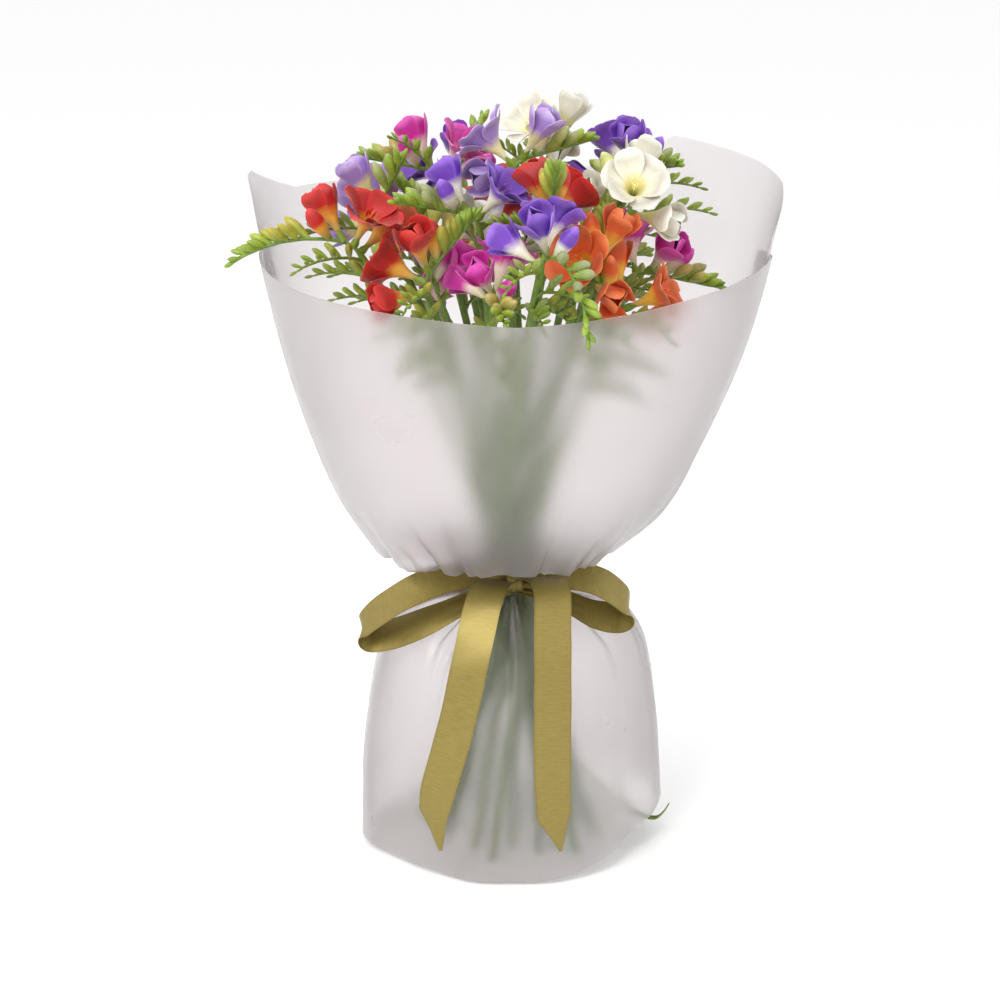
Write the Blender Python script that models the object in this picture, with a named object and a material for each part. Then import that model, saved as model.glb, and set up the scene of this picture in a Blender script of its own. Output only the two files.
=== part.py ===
"""A hand-tied freesia bouquet that stands on its own cut stems.

The stems lean through one tie like skewed rods, so they fan out into a dome of flowers above it and
into a stand below it. Each stem ends in a comb of florets: three blooms, a coloured bud and green buds.
Two sheets of frosted film wrap the stems, gathered at the tie by a band, with a satin bow over it.
Lengths are in metres, +Z is up, the front faces -Y, and the origin is on the surface that it stands on,
in the middle of its outline.
"""

import math

import bmesh
import bpy
import numpy as np

MM = 0.001
UP = np.array([0.0, 0.0, 1.0])

# Driving dimensions of the bundle
STEM_COUNT = 22
TIE_HEIGHT = 184 * MM
STEM_WAIST = 176 * MM  # the leaning stems lie closest here, just under the tie
STEM_RADIUS = 2.45 * MM
SLOT_PITCH = 3.0 * MM  # sets how close the stems lie at the tie
SKEW_LENGTH = 39 * MM  # height over which a stem drifts sideways by its own distance from the middle
BEND_START = 267 * MM  # the stems curve outwards above this height
BEND_RATE = 70.0  # per square metre
BUNDLE_TURN = math.radians(20)
DOME_TOP = 402 * MM  # height of the middle stem's top
DOME_DROP = 52 * MM  # how much lower the outermost stem ends
DOME_TILT = 0.2  # the dome falls towards the front by this slope
GOLDEN_ANGLE = math.pi * (3 - math.sqrt(5))

# Where the middle stem stands, so that the origin is the middle of the whole outline
BUNDLE_PLACE = (5.492 * MM, 6.146 * MM, 0.0)

# Driving dimensions of a flowering comb, along its axis from the stem's top
COMB_LENGTH = 66 * MM
COMB_BEND = 24 * MM  # the axis turns from the stem's direction to level over this length
COMB_RADIUS = 1.15 * MM
BLOOM_SEATS = (5 * MM, 11 * MM, 18.5 * MM, 27 * MM)  # half-open, open and half-open bloom, coloured bud
BUD_SEATS = (35 * MM, 42.5 * MM, 49 * MM, 54.5 * MM, 59.5 * MM)
BUD_LENGTHS = (21 * MM, 18 * MM, 15.5 * MM, 13 * MM, 11 * MM)
# How far each floret leans forwards from the comb's upper side, and to one side, in degrees
LEANS = (0, 14, 42, 42, 44, 47, 50, 53, 56)
SPLAYS = (30, -20, 24, -18, 26, -26, 26, -26, 26)
END_BUD_LENGTH = 9 * MM
BUD_SLENDERNESS = 0.155  # a bud's radius over its length
SEAT_GAP = 0.5 * MM  # clearance between a coloured flower and the green axis that carries it

# Driving dimensions of the flowers, along their own axis from the seat. Each whorl of three tepals is given
# by its (distance out, distance along, half its width) in mm at its middle, widest place, shoulder and tip
BLOOM_LENGTH = 36 * MM
THROAT = (6.4, 22.5)  # mm: where the tepals part from the funnel
OPEN_INNER = ((9.0, 27.0, 0), (14.2, 31.6, 8.0), (18.5, 35.2, 5.4), (20.6, 36.2, 0))
OPEN_OUTER = ((10.0, 25.2, 0), (15.4, 28.4, 8.4), (19.8, 30.8, 5.6), (21.6, 30.8, 0))
HALF_INNER = ((6.4, 27.0, 0), (5.6, 32.0, 5.6), (2.2, 38.4, 0))
HALF_OUTER = ((8.4, 27.0, 0), (10.6, 32.0, 6.6), (10.8, 37.2, 0))
PETAL_THICKNESS = 1.0 * MM
COLOURED_BUD_LENGTH = 27.5 * MM

# The one leaf left low on a stem: its direction round the axis, and (out, height, width) in mm along it
LEAFY_STEM = 16
LEAF_TURN = -13
LEAF_LINE = ((42.5, 52, 3), (62, 34, 5), (82, 18, 6), (99, 13, 6), (106, 18, 4), (110, 25, 1))

# Driving dimensions of the wrap: (distance from the axis, height) in mm on four sides, from the skirt's
# rim up over its shoulder, in to the tie, out under the collar and up to the collar's rim
WRAP_SIDES = {
    0: ((98, 22), (93, 92), (84, 141), (60, 168), (19.7, 176), (19.7, 199),
        (66, 207), (101, 238), (127, 288), (153, 358), (173, 446)),
    90: ((96, 4), (95, 64), (84, 137), (58, 166), (19.7, 176), (19.7, 199),
         (80, 207), (112, 248), (137, 310), (152, 372), (160, 450)),
    180: ((99, 4), (97, 70), (85, 141), (60, 166), (19.7, 176), (19.7, 199),
          (92, 206), (119, 250), (145, 318), (162, 388), (173, 452)),
    270: ((98, 2), (97, 64), (84, 140), (50, 164), (19.7, 174), (19.7, 199),
          (76, 206), (110, 250), (134, 310), (153, 372), (166, 440)),
}
FILM_THICKNESS = 0.9 * MM
FILM_LAYER = 1.8 * MM  # the front sheet lies this far outside the back sheet
FILM_STEP = 12  # degrees between the columns of a sheet
FRONT_SHEET = (168, 372)  # degrees round the axis that each sheet covers, from +X towards +Y
BACK_SHEET = (-12, 180)
FRONT_RIM = ((168, 404), (186, 403), (215, 398), (270, 391), (325, 398), (350, 405), (372, 398))
BACK_RIM = (
    (-12, 424), (4, 446), (20, 452), (48, 458), (62, 436), (90, 424), (150, 430), (174, 452), (180, 452),
)

# Driving dimensions of the tie and the ribbon
BAND_INNER = 22.5 * MM
BAND_THICKNESS = 1.6 * MM
BAND_HEIGHT = 3.6 * MM
BAND_LEVEL = TIE_HEIGHT + 10 * MM
RIBBON_THICKNESS = 0.9 * MM
RING_HEIGHT = 11 * MM  # the ribbon is drawn together to this width round the neck
RING_LEVEL = TIE_HEIGHT + 1.5 * MM
LOOP_TILT = (0.0, 0.8, 0.6)  # the ribbon's width across a loop lies back and up
# Middle lines of the bow's loops and tails: (x, y, z, width) in mm from the knot and back, or to the end
LEFT_LOOP = (
    (-3, -29, 188, 12), (-22, -40, 193, 17), (-45, -47, 194, 22), (-66, -51, 187, 25), (-84, -51, 176, 25),
    (-96, -49, 165, 24), (-99, -48, 159, 23), (-93, -47, 154, 24), (-77, -48, 157, 25), (-56, -47, 165, 22),
    (-34, -41, 174, 17), (-14, -34, 181, 13), (-3, -29, 183, 12),
)
RIGHT_LOOP = (
    (5, -29, 188, 12), (25, -40, 193, 17), (45, -45, 195, 22), (61, -46, 190, 25), (73, -45, 180, 24),
    (76, -44, 172, 23), (71, -45, 167, 24), (56, -46, 169, 23), (38, -42, 176, 17), (19, -35, 181, 13),
    (5, -29, 183, 12),
)
LEFT_TAIL = (
    (-3, -29, 185, 12), (-10, -42, 190, 20), (-15, -55, 191, 25), (-20, -69, 180, 25), (-26, -84, 156, 25),
    (-36, -94, 111, 25), (-48, -93, 66, 25), (-51, -92.5, 50, 23), (-48.7, -93, 36, 11.5), (-47, -94, 22, 2),
)
RIGHT_TAIL = (
    (4, -29, 185, 12), (14, -42, 193, 20), (23, -54, 195, 25), (26, -67, 189, 25), (26, -82, 170, 25),
    (26, -95, 137, 25), (26, -100, 85, 25), (27, -101, 50, 23), (29.6, -100, 37, 12), (32, -99, 24, 2),
)

# Flower colours, one for each stem from the middle of the bundle outwards
VARIETIES = {
    "magenta": (0.80, 0.05, 0.55),
    "violet": (0.36, 0.18, 0.78),
    "white": (0.95, 0.92, 0.80),
    "orange": (0.93, 0.28, 0.05),
    "red": (0.80, 0.02, 0.02),
    "lilac": (0.62, 0.42, 0.82),
}
STEM_VARIETIES = (
    "lilac", "violet", "white", "white", "red", "white", "magenta", "white",
    "magenta", "magenta", "violet", "lilac", "orange", "orange", "red", "magenta",
    "orange", "violet", "magenta", "red", "orange", "violet",
)


# Vector helpers


def unit(vector):
    return vector / np.linalg.norm(vector)


def smooth_step(value):
    value = min(1.0, max(0.0, value))
    return value * value * (3 - 2 * value)


# The bundle: where each stem runs


def tie_slot(index):
    """Where a stem passes the tie, as x + iy. Slots follow a sunflower spiral round the middle stem."""
    if index == 0:
        return 0j
    angle = GOLDEN_ANGLE * index + BUNDLE_TURN
    radius = SLOT_PITCH * math.sqrt(index + 2)
    return complex(radius * math.cos(angle), radius * math.sin(angle))


def stem_point(index, height):
    """The middle of a stem at a height. The whole bundle turns and widens alike, so no two stems meet."""
    drift = (height - STEM_WAIST) / SKEW_LENGTH
    drift += BEND_RATE * max(0.0, height - BEND_START) ** 2
    place = tie_slot(index) * complex(1.0, drift)
    return np.array([place.real, place.imag, height])


def stem_top(index):
    return DOME_TOP - DOME_DROP * index / STEM_COUNT + DOME_TILT * stem_point(index, 392 * MM)[1]


# The comb of florets at a stem's top


class Comb:
    """One stem's flowering end: its axis, the florets' seats and directions, and spheres that hold it."""

    def __init__(self, index, yaw, lift, pitch, droop=0, reach=0):
        self.index = index
        self.reach = reach * MM
        self.droop = droop
        self.effort = abs(yaw) + abs(lift) + abs(pitch - 12)
        self.top_height = stem_top(index) + lift * MM
        self.top = stem_point(index, self.top_height)
        start = unit(self.top - stem_point(index, self.top_height - 4 * MM))
        outward = math.atan2(self.top[1], self.top[0]) if index else BUNDLE_TURN
        heading = outward + math.radians(yaw)
        self.level = np.array([math.cos(heading), math.sin(heading), 0.0])
        self.side = np.cross(self.level, UP)
        self.points, self.tangents = self.axis(start, math.radians(pitch), math.radians(droop))
        self.florets = self.place_florets()
        self.centres, self.radii = self.holding_spheres()
        self.middle = self.centres.mean(axis=0)
        self.span = float((np.linalg.norm(self.centres - self.middle, axis=1) + self.radii).max())

    def axis(self, start, pitch, droop):
        """Points and directions every millimetre: the axis turns level over its bend, then droops."""
        whole = COMB_LENGTH + self.reach
        steps = int(round(whole / MM))
        points, tangents = [self.top], []
        for step in range(steps + 1):
            along = step * MM
            turned = smooth_step(along / COMB_BEND)
            fall = pitch - droop * max(0.0, along - COMB_BEND) / (whole - COMB_BEND)
            end = math.cos(fall) * self.level + math.sin(fall) * UP
            direction = unit((1 - turned) * start + turned * end)
            tangents.append(direction)
            points.append(points[-1] + direction * MM)
        return np.array(points[:-1]), np.array(tangents)

    def at(self, along):
        """Point, direction and upper side of the axis at a distance along it, buds spread over any reach."""
        budded = max(0.0, along - BLOOM_SEATS[-1])
        along += self.reach * budded / (COMB_LENGTH - BLOOM_SEATS[-1])
        step = min(len(self.points) - 1, int(round(along / MM)))
        direction = self.tangents[step]
        upper = unit(np.cross(self.side, direction))
        return self.points[step], direction, upper

    def place_florets(self):
        """(kind, seat, direction, length) of each floret, leaning forwards and to alternate sides."""
        kinds = ["half", "open", "half", "coloured"] + ["green"] * len(BUD_SEATS)
        lengths = [BLOOM_LENGTH] * 3 + [COLOURED_BUD_LENGTH, *BUD_LENGTHS]
        florets = []
        for number, along in enumerate(BLOOM_SEATS + BUD_SEATS):
            point, direction, upper = self.at(along)
            lean, splay = math.radians(LEANS[number]), math.radians(SPLAYS[number])
            way = upper * math.cos(lean) + direction * math.sin(lean)
            way = unit(way * math.cos(splay) + self.side * math.sin(splay))
            florets.append((kinds[number], point, way, lengths[number]))
        point, direction, _ = self.at(COMB_LENGTH - 2 * MM)
        florets.append(("green", point, direction, END_BUD_LENGTH))
        return florets

    def holding_spheres(self):
        """Spheres that hold every part of the comb and of the stem just under it."""
        centres, radii = [], []
        for kind, seat, way, length in self.florets:
            across = unit(np.cross(way, self.side))
            beside = np.cross(way, across)
            if kind == "open":
                layers = ((8, 2.6, 0, 1), (15, 4.5, 0, 1), (23, 7.5, 0, 1), (28, 4, 9, 6), (31, 4, 14.5, 12),
                          (33.5, 3.2, 18.5, 12))
            elif kind == "half":
                layers = ((8, 2.6, 0, 1), (15, 4.5, 0, 1), (23, 8, 0, 1), (30, 5.6, 5.4, 6), (35.5, 3, 8.4, 6))
            else:
                thick = length * BUD_SLENDERNESS * (1.15 if kind == "green" else 1.1)
                layers = tuple((length / MM * share, thick / MM, 0, 1) for share in (0.3, 0.55, 0.8))
            for along, radius, out, count in layers:
                for turn in range(count):
                    angle = 2 * math.pi * turn / count
                    offset = out * MM * (math.cos(angle) * across + math.sin(angle) * beside)
                    centres.append(seat + way * along * MM + offset)
                    radii.append(radius * MM)
        for below in range(0, 90, 5):
            centres.append(stem_point(self.index, self.top_height - below * MM))
            radii.append(STEM_RADIUS)
        for along in range(4, len(self.points), 4):
            centres.append(self.points[along])
            radii.append(1.6 * MM)
        return np.array(centres), np.array(radii)


def sphere_gap(comb, other):
    """The smallest gap between the spheres of two combs, or a large one where they are far apart."""
    if np.linalg.norm(comb.middle - other.middle) > comb.span + other.span:
        return 1.0
    square = (comb.centres ** 2).sum(axis=1)[:, None] + (other.centres ** 2).sum(axis=1)[None]
    apart = np.sqrt(np.maximum(square - 2 * comb.centres @ other.centres.T, 0.0))
    return float((apart - comb.radii[:, None] - other.radii[None]).min())


def film_gap(comb):
    """The smallest gap between a comb's spheres and the wrap's sheets, none of which it meets inside."""
    out = np.hypot(comb.centres[:, 0], comb.centres[:, 1])
    turn = np.degrees(np.arctan2(comb.centres[:, 1], comb.centres[:, 0]))
    height = comb.centres[:, 2]
    column = np.rint(turn % 360 / WALL_STEP).astype(int) % len(WALL_RADII)
    gap = 1.0
    for sheet, rim, layer in ((FRONT_SHEET, FRONT_RIM, FILM_LAYER), (BACK_SHEET, BACK_RIM, 0.0)):
        angle = (turn - sheet[0]) % 360 + sheet[0]
        top = np.interp(angle, [a for a, _ in rim], [h for _, h in rim]) * MM
        level = np.clip((np.minimum(height, top) - WALL_FOOT) / MM / 2, 0, WALL_RADII.shape[1] - 1)
        wall = WALL_RADII[column, np.rint(level).astype(int)] + layer
        apart = np.hypot((wall - out) * 0.9, np.maximum(0.0, height - top)) - comb.radii
        near = (angle <= sheet[1] + 4) & (out > 60 * MM)
        if near.any():
            gap = min(gap, float(apart[near].min()))
    return gap


YAWS = (0, 20, -20, 40, -40, 65, -65, 90, -90, 130, -130)
LIFTS = (0, 9, -9, 18, -18, 27, -27, 36, 45)
PITCHES = (12, -8, 35, 52)
PASSES = 10
ENOUGH_GAP = 0.4 * MM
# Combs that hang over the wrap's rim, by stem: yaw, lift in mm, pitch, droop and reach in mm
HELD_COMBS = {17: (13, 64, 10, 95, 34), 19: (-6, 50, 10, 42, 26)}


def crowding(comb, others, most=1.0):
    """How much a comb lacks in clearance from the wrap and the other combs, added up as far as most."""
    lack = 2 * max(0.0, ENOUGH_GAP - film_gap(comb) + 1.0 * MM)
    for other in others:
        if lack > most:
            break
        lack += max(0.0, ENOUGH_GAP - sphere_gap(comb, other))
    return lack


def arrange_combs():
    """Turns and lifts each comb in turn until it is clear of the rest, over a few passes."""
    combs = [Comb(index, *HELD_COMBS.get(index, (0, 0, 12, 0))) for index in range(STEM_COUNT)]
    choices = [(yaw, lift, pitch) for pitch in PITCHES for lift in LIFTS for yaw in YAWS]
    trials = {}
    for _ in range(PASSES):
        for index in range(STEM_COUNT):
            others = combs[:index] + combs[index + 1:]
            least = crowding(combs[index], others)
            if index in HELD_COMBS or least == 0:
                continue
            if index not in trials:
                trials[index] = [Comb(index, *choice) for choice in choices]
            for trial in trials[index]:
                lack = crowding(trial, others, least) + 0.002 * MM * trial.effort
                if lack < least - 1e-6:
                    least, combs[index] = lack, trial
    return combs


# The wrap's form


def rim_height(rim, angle):
    return float(np.interp(angle, [a for a, _ in rim], [h for _, h in rim])) * MM


def wrap_profile(angle):
    """(radii, heights) of the wrap at an angle in degrees, blended between the four measured sides."""
    turned = angle % 360
    first = int(turned // 90) * 90
    share = smooth_step((turned - first) / 90)
    here = np.array(WRAP_SIDES[first], float)
    there = np.array(WRAP_SIDES[(first + 90) % 360], float)
    blended = (1 - share) * here + share * there
    return blended[:, 0] * MM, blended[:, 1] * MM


def collar_radius(radii, heights, height):
    """The wrap's radius at a height above its neck, run straight on past the last station."""
    if height > heights[-1]:
        return radii[-1] + (height - heights[-1]) * (radii[-1] - radii[-2]) / (heights[-1] - heights[-2])
    return float(np.interp(height, heights[5:], radii[5:]))


WALL_STEP = 6
WALL_FOOT = 190 * MM
WALL_RADII = np.array([
    [collar_radius(*wrap_profile(angle), WALL_FOOT + 2 * MM * level) for level in range(150)]
    for angle in range(0, 360, WALL_STEP)
])


# Mesh helpers


def clear_scene():
    for old in list(bpy.data.objects):
        bpy.data.objects.remove(old)


def make_material(name, colour, roughness, metallic=0.0, alpha=1.0):
    material = bpy.data.materials.new(name)
    material.use_nodes = True
    shader = material.node_tree.nodes["Principled BSDF"]
    shader.inputs["Base Color"].default_value = (*colour, 1.0)
    shader.inputs["Roughness"].default_value = roughness
    shader.inputs["Metallic"].default_value = metallic
    shader.inputs["Alpha"].default_value = alpha
    return material


def add_object(name, points, faces, material):
    mesh = bpy.data.meshes.new(name)
    mesh.from_pydata([tuple(p) for p in points], [], faces)
    mesh.validate()
    rounded = bmesh.new()
    rounded.from_mesh(mesh)
    bmesh.ops.recalc_face_normals(rounded, faces=rounded.faces)
    rounded.to_mesh(mesh)
    rounded.free()
    made = bpy.data.objects.new(name, mesh)
    made.data.materials.append(material)
    bpy.context.scene.collection.objects.link(made)
    return made


def rings_solid(rings, start_tip=None, end_tip=None):
    """Points and faces of a solid through rings of equal size, each end a tip or a flat cap."""
    size = len(rings[0])
    points = [p for ring in rings for p in ring]
    faces = []
    for row in range(len(rings) - 1):
        for k in range(size):
            a, b = row * size + k, row * size + (k + 1) % size
            faces.append((a, b, b + size, a + size))
    last = (len(rings) - 1) * size
    for tip, first in ((start_tip, 0), (end_tip, last)):
        if tip is None:
            faces.append(tuple(range(first, first + size)))
            continue
        points.append(tip)
        for k in range(size):
            faces.append((first + k, first + (k + 1) % size, len(points) - 1))
    return points, faces


def ring_about(centre, way, across, radius, sides, phase=0.0):
    beside = np.cross(way, across)
    angles = [2 * math.pi * (k + phase) / sides for k in range(sides)]
    return [centre + radius * (math.cos(a) * across + math.sin(a) * beside) for a in angles]


def axis_radius(along):
    """The comb's axis thins from the stem over its first centimetre."""
    return STEM_RADIUS + (COMB_RADIUS - STEM_RADIUS) * min(1.0, along / (10 * MM))


def seat_offset(way, upper, along, radius):
    """How far along a flower's axis its root ring clears the green axis that it sits on."""
    cosine = max(0.3, float(way @ upper))
    return (axis_radius(along) + SEAT_GAP + radius * math.sqrt(1 - min(1.0, cosine) ** 2)) / cosine


def spindle(seat, way, side, stations, sides, tip=None):
    """A turned solid along way from seat, through (along, radius) stations, closed flat or at a tip."""
    across = unit(np.cross(way, side))
    rings = [ring_about(seat + way * along, way, across, radius, sides) for along, radius in stations]
    return rings_solid(rings, None, None if tip is None else seat + way * tip)


# Flowers


def corolla(seat, way, side, start, inner, outer):
    """A funnel, hollow at its throat, that parts into an inner and an outer whorl of three tepals each.

    Each tepal has an edge of five or seven points shared by two faces, which bulge PETAL_THICKNESS apart
    at its middle. A half-open bloom's inner tepals close over its throat, which is filled there.
    """
    across = unit(np.cross(way, side))
    root = ring_about(seat + way * start, way, across, 1.3 * MM, 6, 0.5)
    tube = ring_about(seat + way * 0.36 * BLOOM_LENGTH, way, across, 2.4 * MM, 6, 0.5)
    notches = ring_about(seat + way * THROAT[1] * MM, way, across, THROAT[0] * MM, 6, 0.5)
    hollow_throat = len(inner) == 4
    points, faces = rings_solid([root, tube, notches])
    faces.pop()
    heart = len(points)
    points.append(seat + way * (0.44 if hollow_throat else 0.74) * BLOOM_LENGTH)
    beside = np.cross(way, across)
    for number in range(6):
        angle = math.pi * number / 3
        out = math.cos(angle) * across + math.sin(angle) * beside
        left = np.cross(way, out)
        middle, wide, *shoulder, tip = inner if number % 2 == 0 else outer
        before, after = 12 + (number - 1) % 6, 12 + number
        edge = [before]
        for r, a, w in (wide, *shoulder):
            edge.append(len(points))
            points.append(seat + (out * r + way * a - left * w) * MM)
        edge.append(len(points))
        points.append(seat + (out * tip[0] + way * tip[1]) * MM)
        for r, a, w in (*shoulder, wide):
            edge.append(len(points))
            points.append(seat + (out * r + way * a + left * w) * MM)
        edge.append(after)
        rise = unit((out * (wide[1] - THROAT[1]) - way * (wide[0] - THROAT[0])))
        bulge = seat + (out * middle[0] + way * middle[1]) * MM
        under, over = len(points), len(points) + 1
        points += [bulge + rise * PETAL_THICKNESS / 2, bulge - rise * PETAL_THICKNESS / 2]
        for here, there in zip(edge, edge[1:]):
            faces.append((here, there, under))
            faces.append((there, here, over))
        faces.append((after, before, under))
        if not hollow_throat:
            faces += [(over, before, heart), (after, over, heart)]
            continue
        lip = len(points)
        points.append(seat + (out * (THROAT[0] - 1.7) + way * THROAT[1]) * MM)
        faces += [(before, lip, over), (lip, after, over)]
        faces += [(lip, before, heart), (after, lip, heart)]
    return points, faces


def open_bloom(seat, way, side, start, _):
    return corolla(seat, way, side, start, OPEN_INNER, OPEN_OUTER)


def half_bloom(seat, way, side, start, _):
    return corolla(seat, way, side, start, HALF_INNER, HALF_OUTER)


def coloured_bud(seat, way, side, start, length):
    thick = length * BUD_SLENDERNESS
    stations = ((start, 1.1 * MM), (0.42 * length, 0.8 * thick), (0.75 * length, thick))
    return spindle(seat, way, side, stations, 4, length)


def green_bud(seat, way, side, length):
    thick = length * BUD_SLENDERNESS
    stations = ((0.0, 0.4 * thick), (0.5 * length, thick))
    return spindle(seat, way, side, stations, 4 if length > 9 * MM else 3, length)


def flower_pieces(comb):
    """The three blooms and the coloured bud of a comb, on the saddle that joins them."""
    makers = {"open": open_bloom, "half": half_bloom, "coloured": coloured_bud}
    saddle = []
    first, last = BLOOM_SEATS[0] - 1.2 * MM, BLOOM_SEATS[-1] + 2.2 * MM
    for step in range(5):
        along = first + (last - first) * step / 4
        point, direction, upper = comb.at(along)
        lift = axis_radius(along) + SEAT_GAP + 0.95 * MM
        saddle.append(ring_about(point + upper * lift, direction, upper, 0.95 * MM, 4, 0.5))
    pieces = [rings_solid(saddle)]
    for seat_at, (kind, seat, way, length) in zip(BLOOM_SEATS, comb.florets):
        start = seat_offset(way, comb.at(seat_at)[2], seat_at, 1.3 * MM)
        pieces.append(makers[kind](seat, way, comb.side, start, length))
    return pieces


def stem_pieces(comb):
    """The stem from its cut end to the tip of its comb, with the green buds on it."""
    rings = []
    across = np.array([1.0, 0.0, 0.0])
    heights = [0.0, STEM_WAIST, BEND_START]
    rise = comb.top_height - BEND_START
    heights += [BEND_START + rise * share for share in (0.35, 0.7)]
    for height in heights:
        centre = stem_point(comb.index, height)
        rings.append(ring_about(centre, UP, across, STEM_RADIUS, 5))
    bent = [0, 8, 16, 24]
    if comb.reach or comb.droop:
        bent += [34, 44, 54]
    last = len(comb.points) - 1
    for along in [*bent, *range(64, last - 8, 10), last]:
        point, direction = comb.points[along], comb.tangents[along]
        flat = unit(across - direction * (across @ direction))
        rings.append(ring_about(point, direction, flat, axis_radius(along * MM), 5))
    pieces = [rings_solid(rings)]
    for _, seat, way, length in comb.florets[len(BLOOM_SEATS):]:
        pieces.append(green_bud(seat, way, comb.side, length))
    if comb.index == LEAFY_STEM:
        pieces.append(leaf_blade())
    return pieces


def leaf_blade():
    """The one narrow leaf left low on a stem: it runs out under the wrap's raised rim."""
    rings = []
    for out, height, width in LEAF_LINE:
        turn = math.radians(LEAF_TURN)
        outward = np.array([math.cos(turn), math.sin(turn), 0.0])
        centre = outward * out * MM + UP * height * MM
        edge = np.cross(UP, outward) * width / 2 * MM
        rings.append([centre - edge, centre - UP * 0.45 * MM, centre + edge, centre + UP * 0.45 * MM])
    return rings_solid(rings)


def fuse(name, pieces, material, solver="EXACT"):
    """One closed body from overlapping pieces, by one Boolean union on their collection."""
    base = add_object(name, *pieces[0], material)
    gathered = bpy.data.collections.new(name + "_pieces")
    for number, piece in enumerate(pieces[1:]):
        part = add_object(f"{name}_piece_{number}", *piece, material)
        bpy.context.scene.collection.objects.unlink(part)
        gathered.objects.link(part)
    union = base.modifiers.new("Union", "BOOLEAN")
    union.operation = "UNION"
    union.solver = solver
    union.use_self = solver == "EXACT"
    union.operand_type = "COLLECTION"
    union.collection = gathered
    graph = bpy.context.evaluated_depsgraph_get()
    joined = bpy.data.meshes.new_from_object(base.evaluated_get(graph))
    base.modifiers.clear()
    base.data = joined
    for part in list(gathered.objects):
        bpy.data.objects.remove(part)
    bpy.data.collections.remove(gathered)
    joined.shade_smooth()
    joined.set_sharp_from_angle(angle=math.radians(40))
    return base


# Wrap, tie and ribbon


def film_rows(angle, rim, layer):
    """Points of a sheet at one angle, from the skirt's rim to the collar's rim, moved out by the layer."""
    radii, heights = wrap_profile(angle)
    top = rim_height(rim, angle)
    row_radii = np.array([*radii[:-1], collar_radius(radii, heights, top)])
    row_heights = np.array([*heights[:-1], top])
    normals = np.stack([np.diff(row_heights), -np.diff(row_radii)])
    normals /= np.linalg.norm(normals, axis=0)
    before = np.concatenate([normals[:, :1], normals], axis=1)
    after = np.concatenate([normals, normals[:, -1:]], axis=1)
    mitre = (before + after) / (1 + (before * after).sum(axis=0))
    row_radii = row_radii + layer * mitre[0]
    row_heights = row_heights + layer * mitre[1]
    turn = math.radians(angle)
    return [np.array([r * math.cos(turn), r * math.sin(turn), h]) for r, h in zip(row_radii, row_heights)]


def film_sheet(name, span, rim, layer, material):
    columns = [film_rows(angle, rim, layer) for angle in range(span[0], span[1] + 1, FILM_STEP)]
    rows = len(columns[0])
    points = [p for column in columns for p in column]
    faces = []
    for c in range(len(columns) - 1):
        for r in range(rows - 1):
            first = c * rows + r
            faces.append((first, first + rows, first + rows + 1, first + 1))
    sheet = add_object(name, points, faces, material)
    wall = sheet.modifiers.new("Film thickness", "SOLIDIFY")
    wall.thickness = FILM_THICKNESS
    wall.offset = 0.0
    wall.use_even_offset = True
    return sheet


def band_ring(inner, thickness, height, middle, sides):
    """A closed band with a rectangular section round the neck."""
    rings = []
    for k in range(sides):
        turn = 2 * math.pi * k / sides
        out = np.array([math.cos(turn), math.sin(turn), 0.0])
        low, high = UP * (middle - height / 2), UP * (middle + height / 2)
        near, far = out * inner, out * (inner + thickness)
        rings.append([near + low, far + low, far + high, near + high])
    points = [p for ring in rings for p in ring]
    faces = []
    for k in range(sides):
        a, b = 4 * k, 4 * ((k + 1) % sides)
        for j in range(4):
            faces.append((a + j, b + j, b + (j + 1) % 4, a + (j + 1) % 4))
    return points, faces


def strip(line, tilt=None):
    """A closed ribbon strip along (x, y, z, width) points, its width along tilt or else round the wrap."""
    places = [np.array(point[:3], float) * MM for point in line]
    rings = []
    for k, place in enumerate(places):
        way = unit(places[min(k + 1, len(places) - 1)] - places[max(k - 1, 0)])
        across = np.cross(UP, place * (1, 1, 0)) if tilt is None else np.array(tilt)
        across = unit(across - way * (across @ way))
        normal = np.cross(way, across) * RIBBON_THICKNESS / 2
        edge = across * line[k][3] / 2 * MM
        low, high = place - normal, place + normal
        rings.append([low - edge, low + edge, high + edge, high - edge])
    return rings_solid(rings)


def bow_pieces():
    """One ribbon: drawn round the neck, knotted in front, with two loops and two pointed tails."""
    ring = band_ring(BAND_INNER, RIBBON_THICKNESS, RING_HEIGHT, RING_LEVEL, 24)
    forwards = np.array([0.0, -1.0, 0.0])
    start = np.array([2 * MM, -BAND_INNER - 0.3 * MM, RING_LEVEL])
    stations = ((0.0, 5.5 * MM), (3 * MM, 7 * MM), (9 * MM, 7 * MM), (12 * MM, 4.5 * MM))
    knot = spindle(start, forwards, np.array([1.0, 0.0, 0.0]), stations, 8)
    loops = [strip(LEFT_LOOP, LOOP_TILT), strip(RIGHT_LOOP, LOOP_TILT)]
    return [ring, knot, *loops, strip(LEFT_TAIL), strip(RIGHT_TAIL)]


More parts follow.
